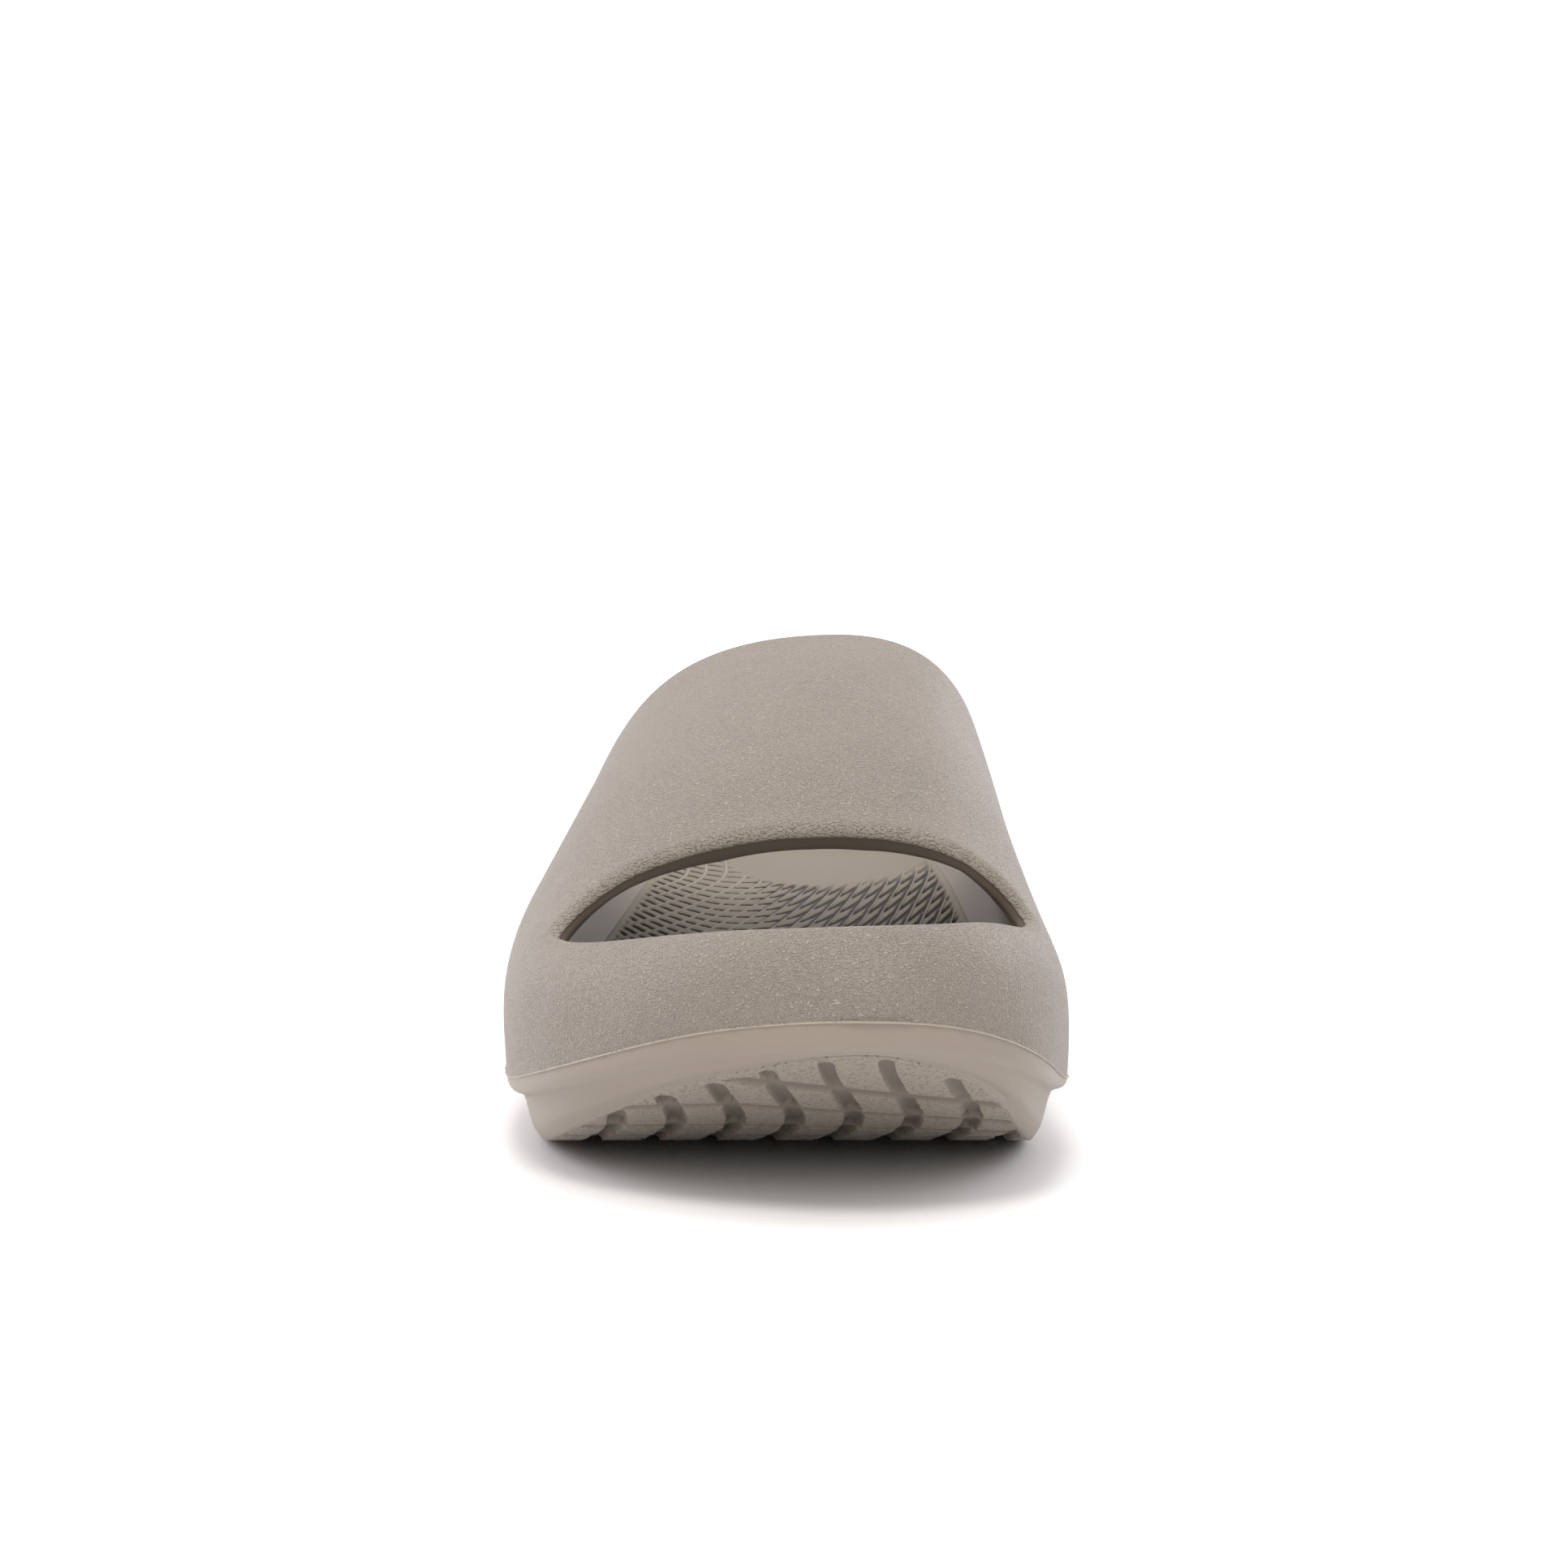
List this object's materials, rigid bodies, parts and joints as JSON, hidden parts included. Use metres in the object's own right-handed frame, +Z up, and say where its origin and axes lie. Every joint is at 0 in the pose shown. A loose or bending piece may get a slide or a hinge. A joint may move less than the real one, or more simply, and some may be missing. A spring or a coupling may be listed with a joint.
{
  "type": "sport slide sandal",
  "caption": "Moulded foam sport slide sandal for the right foot, with a wide closed strap, rolled rims, a raised toe and a wavy tread.",
  "frame": {"origin": "centre of the bounding box, on the ground that the sole stands on", "axes": "+X towards the big toe's side, +Y towards the heel, +Z up"},
  "size_m": [0.116, 0.2916, 0.1],
  "materials": {
    "grained_foam": "moulded foam rubber, leather-like grain, matt",
    "smooth_foam": "moulded foam rubber, smooth, low sheen",
    "textured_foam": "moulded foam rubber, raised pattern, matt"
  },
  "bodies": {
    "root": {"upper": "grained_foam", "sole": "smooth_foam", "footbed": "textured_foam"}
  },
  "joints": []
}
